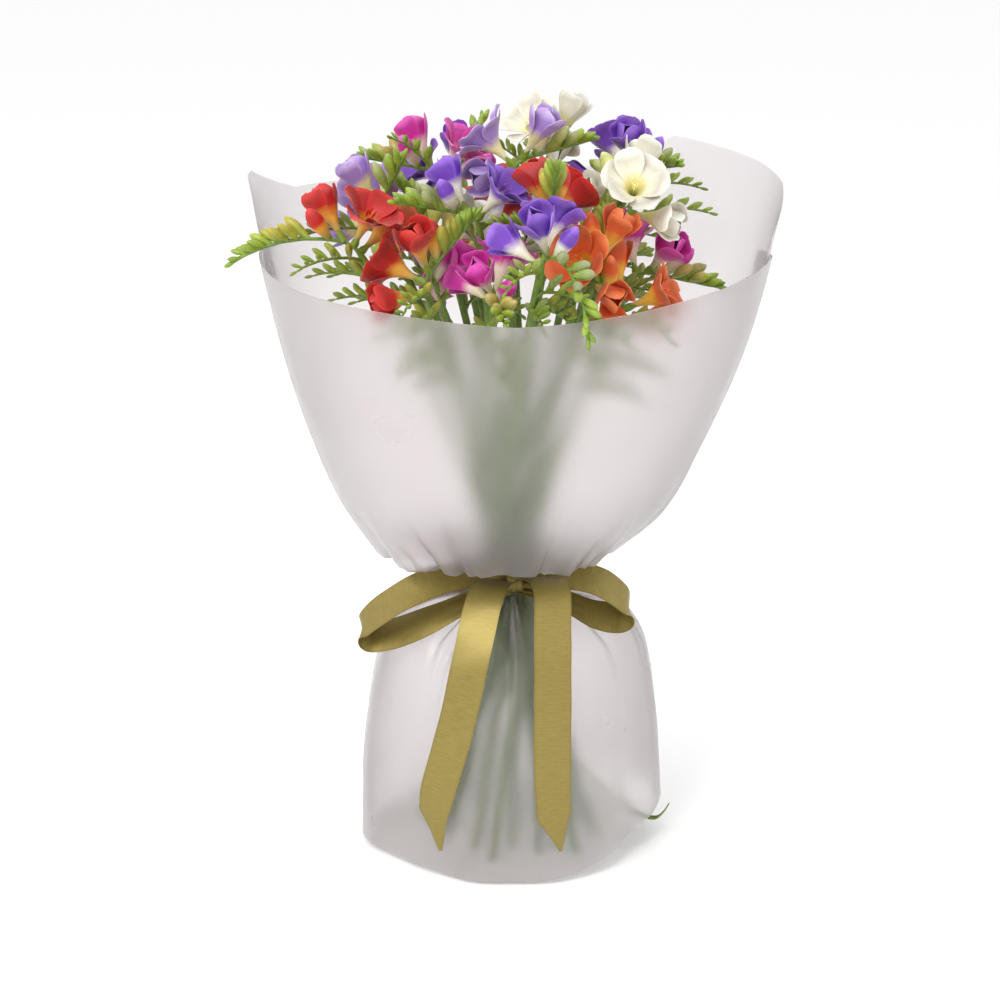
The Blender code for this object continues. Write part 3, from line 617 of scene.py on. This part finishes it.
def satin_material():
    graph = Graph("ribbon_satin", Roughness=0.34, Anisotropic=0.6, Metallic=0.5)
    graph.shader.inputs["Sheen Weight"].default_value = 0.1
    graph.shader.inputs["Sheen Roughness"].default_value = 0.3
    graph.shader.inputs["Specular IOR Level"].default_value = 0.6
    uv = graph.uv()
    threads = graph.noise(1.0, 2, uv, (900.0, 26.0, 1.0))
    weft = graph.noise(1.0, 3, uv, (240.0, 3.0, 1.0))
    ramped = graph.ramp(weft, ((0.3, (0.235, 0.175, 0.036)), (0.7, (0.315, 0.245, 0.060))))
    thready = graph.ramp(threads, ((0.3, (0.18, 0.13, 0.026)), (0.7, (0.37, 0.295, 0.085))))
    colour = graph.mix(0.35, ramped, thready)
    parts = graph.node("ShaderNodeSeparateXYZ", {"Vector": uv})
    side = graph.maths("ABSOLUTE", graph.maths("SUBTRACT", parts.outputs[1], 0.5))
    selvedge = graph.maths("GREATER_THAN", side, 0.455)
    colour = graph.mix(graph.maths("MULTIPLY", selvedge, 0.45), colour, (0.20, 0.15, 0.03))
    graph.join(colour, "Base Color")
    graph.join(graph.maths("ADD", graph.maths("MULTIPLY", weft, 0.2), 0.26), "Roughness")
    graph.bump(graph.maths("ADD", threads, graph.maths("MULTIPLY", weft, 0.6)), 0.35, 0.0003)
    return graph.material


def rubber_material():
    graph = Graph("tie_red", Roughness=0.55)
    mottle = graph.noise(220, 3)
    graph.join(graph.ramp(mottle, ((0.3, (0.52, 0.07, 0.05)), (0.7, (0.72, 0.14, 0.10)))), "Base Color")
    graph.bump(mottle, 0.4, 0.0004)
    return graph.material


# Flowers

# A tepal's line: (share of its length, distance from the bloom's axis, height) in mm
TUBE = ((0.0, 1.2, 1.5), (0.2, 1.6, 8.0), (0.38, 2.8, 15.0), (0.5, 6.2, 22.0))
OPEN_INNER = ((0.62, 9.4, 27.0), (0.78, 14.4, 31.6), (0.92, 19.0, 34.6), (1.0, 21.2, 35.0))
OPEN_OUTER = ((0.62, 10.2, 25.6), (0.78, 15.8, 28.8), (0.92, 20.4, 30.6), (1.0, 22.4, 30.2))
HALF_INNER = ((0.62, 6.8, 27.0), (0.78, 6.4, 31.5), (0.92, 4.2, 36.0), (1.0, 2.0, 38.4))
HALF_OUTER = ((0.62, 8.6, 27.0), (0.78, 10.8, 31.5), (0.92, 11.2, 35.6), (1.0, 11.4, 37.6))
# Each form: its inner and outer lines, the tepals' half widths, how cupped they are, and whether it is open
OPEN_BLOOM = (OPEN_INNER, OPEN_OUTER, (9.6, 10.6), 0.30, True)
HALF_BLOOM = (HALF_INNER, HALF_OUTER, (7.6, 8.6), 0.22, False)
BLOOMS = ((HALF_BLOOM, 1.2 * MM), (OPEN_BLOOM, 1.0 * MM), (HALF_BLOOM, 0.9 * MM))  # with its least height
PETAL_ROWS, PETAL_COLUMNS = 17, 9
PETAL_THICKNESS = 0.4 * MM
BRACT_THICKNESS = 0.35 * MM
LEAF_THICKNESS = 0.6 * MM


def tepal(shape, seat, way, out, line, width, rng, cup, start):
    """One tepal from the seat to its tip: a sixth of the tube, then a broad blade."""
    stations = np.array(TUBE + line)
    u = np.linspace(0, 1, PETAL_ROWS)
    v = np.linspace(-1, 1, PETAL_COLUMNS)
    radius = np.interp(u, stations[:, 0], stations[:, 1])
    height = np.interp(u, stations[:, 0], stations[:, 2])
    kernel = np.array([0.25, 0.5, 0.25])
    for _ in range(2):
        radius[1:-1] = np.convolve(radius, kernel, "valid")
        height[1:-1] = np.convolve(height, kernel, "valid")
    height = np.maximum(height, start / MM)
    blade = np.clip((u - 0.5) / 0.5, 0, 1)
    form = np.interp(blade, (0, 0.2, 0.45, 0.65, 0.82, 0.93, 1.0), (0.66, 0.84, 1.0, 1.0, 0.82, 0.52, 0.16))
    half = np.where(u < 0.5, radius * 0.62, form * width)
    left = np.cross(way, out)
    free = smooth_step((u - 0.42) / 0.3)[:, None]
    turn = v[None, :] * math.radians(37)
    ring = radius[:, None]
    tube_out, tube_left = ring * np.cos(turn), ring * np.sin(turn)
    wave = rng.uniform(0, TAU)
    ruffle = np.sin(u[:, None] * 17 + wave + 1.5 * v[None, :]) * v[None, :] ** 2 * blade[:, None] * 0.9
    bend = blade[:, None] ** 2 * rng.uniform(-1.6, 1.6)
    rise = cup * half[:, None] * v[None, :] ** 2 * blade[:, None] ** 0.5 + ruffle + bend
    skew = rng.uniform(-0.12, 0.12) * (u[:, None] - 0.5) * free
    blade_out = ring - 0.25 * half[:, None] * v[None, :] ** 2 * (1 - blade[:, None])
    blade_left = half[:, None] * v[None, :] + ring * skew
    outs = (1 - free) * tube_out + free * blade_out
    lefts = (1 - free) * tube_left + free * blade_left
    ups = height[:, None] + free * rise
    middle = seat + (outs[..., None] * out + lefts[..., None] * left + ups[..., None] * way) * MM
    gain = rng.uniform(0.86, 1.08)
    shape.sheet(middle, PETAL_THICKNESS, (gain, gain, gain, 1))


def whorls(shape, seat, way, side, form, rng, start):
    """A bloom's inner and outer three tepals, and its stamens where it is open."""
    inner, outer, widths, cup, is_open = form
    across = unit(np.cross(way, side))
    beside = np.cross(way, across)
    for number in range(6):
        angle = math.pi * number / 3 + rng.uniform(-0.06, 0.06)
        out = math.cos(angle) * across + math.sin(angle) * beside
        line = inner if number % 2 == 0 else outer
        grown = rng.uniform(0.95, 1.04)
        line = tuple((s, r * grown, h) for s, r, h in line)
        tepal(shape, seat, way, out, line, widths[number % 2] * grown, rng, cup, start)
    if not is_open:
        return
    for number in range(3):
        angle = TAU * number / 3 + 0.5
        out = math.cos(angle) * across + math.sin(angle) * beside
        path = [seat + (way * h + out * r) * MM for h, r in ((14, 0.8), (22, 1.5), (27, 2.4), (31, 3.0))]
        shape.tube(path, np.array((0.4, 0.4, 0.9, 0.5)) * MM, 6, (1.25, 1.2, 0.8, 1))


def closed_bud(shape, seat, way, length, thick, start, tint, sides=12, ridge=0.05, bend=None):
    """A plump closed bud, wrapped in a slow spiral."""
    share = np.array((0.0, 0.08, 0.2, 0.34, 0.5, 0.66, 0.8, 0.9, 0.97))
    radii = np.array((0.28, 0.42, 0.62, 0.82, 0.97, 1.0, 0.84, 0.56, 0.22)) * thick
    path = seat + way * (start + (length - start) * share)[:, None]
    if bend is not None:
        path = path + bend * (share ** 2)[:, None] * length * 0.12
    shape.tube(path, radii, sides, tint, ridge, 3, 2.2)


def scale_leaf(shape, seat, way, out, length, width, tint):
    """A small bract that hugs a floret's base."""
    u = np.linspace(0, 1, 6)[:, None]
    v = np.linspace(-1, 1, 5)[None, :]
    half = width * np.array((0.75, 1.0, 0.95, 0.72, 0.42, 0.08))[:, None]
    left = np.cross(way, out)
    away = 1.55 * MM + 0.12 * length * u ** 2
    curl = half * 0.5 * v ** 2
    middle = (seat + way * (u * length)[..., None] + out * (away - curl)[..., None] + left * (half * v)[..., None])
    shape.sheet(middle, BRACT_THICKNESS, tint)


def stem_shape(comb, rng):
    """The stem, its comb's axis, the green buds and the bracts."""
    shape = Shape()
    upper = np.linspace(BEND_START, comb.top_height, 12)[:-1]
    heights = np.concatenate([np.linspace(0, BEND_START, 12)[:-1], upper])
    path = [stem_point(comb.index, h) for h in heights]
    radii = [STEM_RADIUS] * len(path)
    steps = list(range(0, len(comb.points), 3))
    steps[-1] = len(comb.points) - 1
    for k, step in enumerate(steps):
        jog = 0.45 * MM * math.sin(k * 1.4) if step > 12 else 0.0
        path.append(comb.points[step] + comb.side * jog)
        radii.append(STEM_RADIUS + (COMB_RADIUS - STEM_RADIUS) * min(1.0, step / 10))
    tone = rng.uniform(0.82, 1.12)
    share = np.linspace(0, 1, len(path))[:, None]
    tints = (1 - share) * np.array((0.155, 0.255, 0.045)) + share * np.array((0.16, 0.29, 0.030))
    tints = np.concatenate([tints * tone, np.ones((len(path), 1))], axis=1)
    shape.tube(path, radii, 12, tints)
    shape.points[0][:, 2] = np.maximum(shape.points[0][:, 2], 0.0)
    hint = np.array(VARIETIES[comb.variety][2])
    ripe = rng.uniform(0.25, 1.0)
    seats = []
    for number, along in enumerate(BUD_SEATS):
        lean, splay = LEANS[number + 4], SPLAYS[number + 4]
        seats.append((along, lean, splay, BUD_LENGTHS[number]))
        if number < 4:
            later = (along + BUD_SEATS[number + 1]) / 2
            length = 0.46 * (BUD_LENGTHS[number] + BUD_LENGTHS[number + 1])
            seats.append((later, lean + 3, -splay * 0.75, length))
    seats.append((62.5 * MM, 66, -20, 8.5 * MM))
    for along, lean, splay, length in seats:
        seat, way = comb.way(along, lean + rng.uniform(-4, 4), splay + rng.uniform(-5, 5))
        far = (along - BUD_SEATS[0]) / (BUD_SEATS[-1] - BUD_SEATS[0])
        fresh = np.clip(ripe * (1.15 - far), 0, 1)
        base = (1 - fresh) * LEAFY + fresh * YELLOW_GREEN
        tip = base * rng.uniform(0.85, 1.15)
        if far < 0.5:
            tip = 0.72 * tip + 0.28 * hint
        rows = np.linspace(0, 1, 9)[:, None] ** 1.4
        tints = (1 - rows) * (0.55 * LEAFY + 0.45 * base) + rows * tip
        tints = np.concatenate([tints, np.ones((9, 1))], axis=1)
        thick = length * 0.155 * rng.uniform(1.12, 1.3)
        closed_bud(shape, seat, way, length, thick, 0.0, tints, 10, 0.04, comb.at(along)[1] * 0.6)
        green_scale = np.array((*(0.8 * LEAFY * rng.uniform(0.8, 1.3)), 1.0))
        scale_leaf(shape, seat, way, -comb.at(along)[1], min(7 * MM, 0.42 * length), 1.6 * MM, green_scale)
    seat, direction, _ = comb.at(COMB_LENGTH - 2 * MM)
    closed_bud(shape, seat, direction, END_BUD_LENGTH, 1.6 * MM, 0.0, (*LEAFY, 1.0), 10)
    for number, along in enumerate(BLOOM_SEATS):
        seat, way = comb.way(along, LEANS[number], SPLAYS[number])
        for sign in (-1, 1):
            out = unit(comb.side * sign - way * (comb.side @ way) * sign)
            scale_leaf(shape, seat, way, out, 9 * MM, 2.6 * MM, (*(0.9 * LEAFY), 1.0))
    if comb.index == LEAFY_STEM:
        outward = np.array([math.cos(LEAF_TURN), math.sin(LEAF_TURN), 0.0])
        line = spline(LEAF_LINE, 5) * MM
        v = np.linspace(-1, 1, 5)[None, :, None]
        centre = outward * line[:, :1] + UP * line[:, 1:2]
        middle = centre[:, None] + np.cross(UP, outward) * line[:, 2][:, None, None] / 2 * v
        middle = middle + UP * (0.8 * MM * v ** 2)
        shape.sheet(middle, LEAF_THICKNESS, (*(0.7 * LEAFY), 1.0))
    return shape


def bloom_shape(comb, rng):
    """The open bloom, the half-open blooms and the coloured bud of one comb."""
    shape = Shape()
    for (form, start), along, lean, splay in zip(BLOOMS, BLOOM_SEATS, LEANS, SPLAYS):
        seat, way = comb.way(along, lean, splay)
        whorls(shape, seat, way, comb.side, form, rng, start)
    seat, way = comb.way(BLOOM_SEATS[3], LEANS[3], SPLAYS[3])
    rows = np.ones((9, 4))
    if comb.variety == "white":
        rows[:, :3] = np.array((0.78, 0.88, 0.34))
    thick = COLOURED_BUD_LENGTH * COLOURED_BUD_SLENDERNESS
    closed_bud(shape, seat, way, COLOURED_BUD_LENGTH, thick, 0.9 * MM, rows, 14, 0.07)
    return shape


# The wrap


def wrap_stations(angle):
    turned = angle % 360
    first = int(turned // 90) * 90
    share = float(smooth_step((turned - first) / 90))
    here = np.array(WRAP_SIDES[first], float)
    there = np.array(WRAP_SIDES[(first + 90) % 360], float)
    return (1 - share) * here + share * there


SKIRT_ROWS, NECK_INNER, FOOT_ROWS, COLLAR_ROWS = 40, 6, 18, 50


def spread_rows(line, shares):
    """Points at shares of a line's own length."""
    length = np.concatenate([[0], np.cumsum(np.linalg.norm(np.diff(line, axis=0), axis=1))])
    return np.stack([np.interp(length[-1] * shares, length, line[:, k]) for k in (0, 1)], axis=1)


def wrap_line(angle, rim):
    """(radius, height) in mm along the wrap at one angle: skirt, neck, the collar's flat foot and its wall."""
    stations = wrap_stations(angle)
    top = float(np.interp(angle, [a for a, _ in rim], [h for _, h in rim]))
    skirt = spread_rows(spline(stations[:NECK_ROWS[0] + 1], 10), 1 - (1 - np.linspace(0, 1, SKIRT_ROWS)) ** 1.25)
    neck = np.linspace(stations[NECK_ROWS[0]], stations[NECK_ROWS[1]], NECK_INNER + 2)[1:-1]
    foot = np.linspace(stations[NECK_ROWS[1]], stations[FOOT_STATION], FOOT_ROWS + 1)[:-1]
    wall = spline(stations[FOOT_STATION:], 16)
    if top > wall[-1, 1]:
        slope = (wall[-1] - wall[-2]) / (wall[-1, 1] - wall[-2, 1])
        wall = np.concatenate([wall, [wall[-1] + slope * (top - wall[-1, 1])]])
    rise = np.interp(top, wall[:, 1], np.arange(len(wall)))
    wall = np.concatenate([wall[:int(rise) + 1], [[np.interp(top, wall[:, 1], wall[:, 0]), top]]])
    return np.concatenate([skirt, neck, foot, spread_rows(wall, np.linspace(0, 1, COLLAR_ROWS))])


def creases(angles, spread, seed, count, depth):
    """Sharp radiating folds: tent-shaped ridges at seeded angles, deepest near the neck."""
    rng = np.random.default_rng(seed)
    total = np.zeros((len(angles), len(spread)))
    for _ in range(count):
        centre, width = rng.uniform(0, 360), rng.uniform(2.2, 9.5)
        reach, power = rng.uniform(0.15, 0.75), rng.uniform(0.7, 1.6)
        drift = rng.uniform(-16, 16)
        place = centre + drift * spread[None, :]
        apart = np.abs((angles[:, None] - place + 180) % 360 - 180)
        tent = np.clip(1 - apart / width, 0, 1)
        fade = np.clip(1 - spread[None, :] / reach, 0, 1) ** power * np.clip(spread[None, :] / 0.05, 0, 1)
        total += rng.uniform(-1.0, 1.0) * depth * tent * fade
    return total


def film_piece(name, span, rim, layer, material, node):
    angles = np.arange(span[0], span[1] + FILM_STEP / 2, FILM_STEP)
    lines = np.array([wrap_line(a, rim) for a in angles])
    radii, heights = lines[..., 0], lines[..., 1]
    along = np.linalg.norm(np.diff(lines, axis=1), axis=2).mean(axis=0)
    along = np.concatenate([[0], np.cumsum(along)])
    skirt = np.clip(1 - along / along[SKIRT_ROWS - 1], 0, 1)
    collar = np.clip((along - along[SKIRT_ROWS + NECK_INNER]) / (along[-1] - along[SKIRT_ROWS + NECK_INNER]), 0, 1)
    turn = np.radians(angles)[:, None]
    push = np.zeros_like(radii)
    pleats = np.sin(turn * 23 + 1.3 * np.sin(turn * 3)) + 0.6 * np.sin(turn * 37 + 2.0)
    near = np.exp(-((collar + skirt) / 0.10) ** 2)[None, :]
    grown = np.clip((radii - NECK_RADIUS) / 30, 0, 1)
    push += pleats * near * (0.5 + 2.2 * grown) - 0.7 * near
    push += np.where(collar > 0, creases(angles, collar, *COLLAR_CREASES), 0)
    push += np.where(skirt > 0, creases(angles, skirt, *SKIRT_CREASES), 0)
    soft = np.sin(turn * 3 + 0.6) * 2.6 + np.sin(turn * 5 + 2.1) * 1.6
    push += soft * smooth_step((collar - 0.2) / 0.6)[None, :]
    gather = np.sin(turn * 4 + 0.9) * 2.6 + np.sin(turn * 7 + 2.4 + collar[None, :]) * 1.5
    gather = gather + np.sin(turn * 13) * 0.7
    push += gather * smooth_step((skirt - 0.1) / 0.7)[None, :]
    # a slack dent across the collar's front, low on the left
    slack = (angles[:, None] - 262 + 30 * collar[None, :]) / 16
    push -= 2.2 * np.exp(-slack ** 2 - ((collar[None, :] - 0.36) / 0.06) ** 2)
    centre = np.stack([radii * np.cos(turn), radii * np.sin(turn), heights], axis=2) * MM
    du, dv = np.gradient(centre, axis=0), np.gradient(centre, axis=1)
    normal = np.cross(du, dv)
    normal /= np.maximum(np.linalg.norm(normal, axis=2, keepdims=True), 1e-12)
    middle = centre + normal * ((push + layer)[..., None]) * MM
    middle[..., 2] = np.maximum(middle[..., 2], 0.4 * MM)
    shape = Shape()
    shape.sheet(middle, FILM_THICKNESS)
    piece = shape.make(name, material, nodes=(node,), sharp=32)
    return piece


# The tie and the ribbon


def ribbon_strip(shape, line, tilt=None, start_u=0.0, pointed=False):
    """A strip along (x, y, z, width) points, slightly crowned across, with soft ripples along it."""
    if pointed:
        cut = [np.linspace(line[k], line[k + 1], 9)[1:] for k in range(len(line) - 3, len(line) - 1)]
        fine = np.concatenate([spline(line[:-2], 8), *cut])
    else:
        fine = spline(line, 8)
    places, widths = fine[:, :3] * MM, fine[:, 3] * MM
    ways = np.gradient(places, axis=0)
    ways /= np.linalg.norm(ways, axis=1, keepdims=True)
    v = np.linspace(-1, 1, 11)
    length = np.concatenate([[0], np.cumsum(np.linalg.norm(np.diff(places, axis=0), axis=1))])
    middle = np.empty((len(places), len(v), 3))
    for k, (place, way, width) in enumerate(zip(places, ways, widths)):
        across = np.cross(UP, place * (1, 1, 0)) if tilt is None else tilt
        across = unit(across - way * (across @ way))
        normal = np.cross(way, across)
        gathered = np.clip(1 - width / (22 * MM), 0, 1) * (not pointed or k < len(places) / 2)
        crown = 0.5 * MM * (1 - v ** 2) + gathered * 1.3 * MM * np.cos(v * 9)
        ripple = 0.35 * MM * np.sin(length[k] / MM * 0.16 + 1.2 * v)
        middle[k] = place + np.outer(v, across) * width / 2 + np.outer(crown + ripple, normal)
    u = np.repeat((start_u + length[:, None] / RIBBON_WIDTH / 10), len(v), axis=1)
    uv = np.stack([u, np.repeat((v[None, :] + 1) / 2, len(places), axis=0)], axis=2)
    shape.sheet(middle, RIBBON_THICKNESS, uv=uv)


def bow_piece(material):
    shape = Shape()
    ribbon_strip(shape, LEFT_LOOP, LOOP_TILT)
    ribbon_strip(shape, RIGHT_LOOP, LOOP_TILT, 3.0)
    ribbon_strip(shape, LEFT_TAIL, None, 6.0, True)
    ribbon_strip(shape, RIGHT_TAIL, None, 8.0, True)
    # the turn round the neck, drawn together into soft folds
    turns = np.linspace(-0.30 * math.pi, 1.70 * math.pi - TAU / 60, 60) - 0.2 * math.pi
    v = np.linspace(-1, 1, 13)
    radius = (RING_RADIUS + 0.45 * np.cos(v * 10)) * MM
    middle = np.stack([
        np.outer(np.cos(turns), radius), np.outer(np.sin(turns), radius),
        np.repeat((RING_LEVEL + v * 5.5 * MM)[None, :], len(turns), axis=0),
    ], axis=2)
    shape.sheet(middle, 0.5 * MM)
    # the knot: a wrapped, pinched band of ribbon
    around = np.linspace(0, TAU, 33)
    v = np.linspace(-1, 1, 13)
    middle = np.empty((len(around), len(v), 3))
    for k, a in enumerate(around):
        fold = 0.5 * np.cos(v * 8 + 0.6)
        half_y, half_z = 6.2 + fold, 6.6 + fold
        middle[k, :, 0] = KNOT[0] + v * 6.0 * (1 + 0.12 * math.cos(a))
        middle[k, :, 1] = KNOT[1] + half_y * math.cos(a) * (1 - 0.12 * v ** 2)
        middle[k, :, 2] = KNOT[2] + half_z * math.sin(a) * (1 - 0.12 * v ** 2)
    shape.sheet(middle * MM, RIBBON_THICKNESS)
    piece = shape.make("ribbon_bow_fine", material, nodes=("ribbon_bow",))
    return piece


def band_piece(material):
    shape = Shape()
    for level, radius in BAND_STRANDS:
        turns = np.linspace(0, TAU, 73)
        path = np.stack([np.cos(turns) * radius, np.sin(turns) * radius, np.zeros(73) + level], axis=1) * MM
        path[:, 2] += BAND_LEVEL + 0.25 * MM * np.sin(turns * 3 + level)
        shape.tube(path, [0.8 * MM] * 73, 8)
    piece = shape.make("tie_band_fine", material, nodes=("tie_band",))
    return piece


# Camera, floor and light

CAMERA_LENS, CAMERA_SENSOR = 96, 36
CAMERA_RISE = math.radians(17)
CAMERA_TARGET = PLACE + np.array([-0.008, 0.0, 0.234])
CAMERA_AWAY = 1.78
FLOOR_REACH = 40


def add_camera():
    data = bpy.data.cameras.new("photo_camera")
    data.lens, data.sensor_width = CAMERA_LENS, CAMERA_SENSOR
    camera = bpy.data.objects.new("photo_camera", data)
    bpy.context.scene.collection.objects.link(camera)
    way = np.array([0.0, -math.cos(CAMERA_RISE), math.sin(CAMERA_RISE)])
    camera.location = CAMERA_TARGET + CAMERA_AWAY * way
    camera.rotation_euler = (math.pi / 2 - CAMERA_RISE, 0, 0)
    bpy.context.scene.camera = camera


def add_light(name, place, target, size, power, colour=(1, 1, 1)):
    data = bpy.data.lights.new(name, "AREA")
    data.shape, data.size, data.energy, data.color = "SQUARE", size, power, colour
    light = bpy.data.objects.new(name, data)
    bpy.context.scene.collection.objects.link(light)
    light.location = place
    way = np.array(target, float) - np.array(place, float)
    yaw = math.atan2(way[1], way[0])
    drop = math.atan2(np.hypot(way[0], way[1]), -way[2])
    light.rotation_euler = (drop, 0, yaw - math.pi / 2)


def add_stage():
    mesh = bpy.data.meshes.new("floor")
    corners = [(x * FLOOR_REACH, y * FLOOR_REACH, 0) for x, y in ((-1, -1), (1, -1), (1, 1), (-1, 1))]
    mesh.from_pydata(corners, [], [(0, 1, 2, 3)])
    floor = bpy.data.objects.new("floor", mesh)
    bpy.context.scene.collection.objects.link(floor)
    graph = Graph("pale_floor", Roughness=0.8)
    graph.shader.inputs["Base Color"].default_value = (0.965, 0.965, 0.965, 1)
    mesh.materials.append(graph.material)
    world = bpy.data.worlds.new("studio")
    bpy.context.scene.world = world
    world.use_nodes = True
    world.node_tree.nodes["Background"].inputs["Color"].default_value = (1, 1, 1, 1)
    world.node_tree.nodes["Background"].inputs["Strength"].default_value = 1.0
    add_light("key", (-0.9, -1.3, 1.7), (0, 0, 0.3), 1.1, 24)
    add_light("fill", (1.4, -0.9, 1.0), (0, 0, 0.3), 1.3, 3)
    add_light("rim", (0.3, 1.5, 1.3), (0, 0, 0.3), 1.2, 6)
    bpy.context.scene.view_settings.view_transform = "Standard"


def main():
    add_camera()
    add_stage()
    film = film_material()
    green = green_material()
    petals = {name: petal_material(name) for name in VARIETIES}
    combs = [Comb(index, *settings) for index, settings in enumerate(COMBS)]
    draws = [np.random.default_rng(100 + comb.index) for comb in combs]
    stems = [stem_shape(comb, rng) for comb, rng in zip(combs, draws)]
    blooms = [bloom_shape(comb, rng) for comb, rng in zip(combs, draws)]
    sprays = place_sprays(combs, stems + blooms)
    for comb, rng, stem, bloom in zip(combs, draws, stems, blooms):
        for spray in sprays[comb.index]:
            spray_buds(stem, spray, np.array(VARIETIES[comb.variety][2]), rng)
        name = f"stem_{comb.index + 1:02d}"
        stem = stem.make(f"{name}_fine", green, nodes=(name,))
        name = f"blooms_{comb.index + 1:02d}"
        bloom = bloom.make(f"{name}_fine", petals[comb.variety], nodes=(name,))
    front = film_piece("wrap_film_front", FRONT_SHEET, FRONT_RIM, FILM_LAYER, film, "wrap_sheet_front")
    back = film_piece("wrap_film_back", BACK_SHEET, BACK_RIM, 0.0, film, "wrap_sheet_back")
    bow = bow_piece(satin_material())
    band_piece(rubber_material())


main()
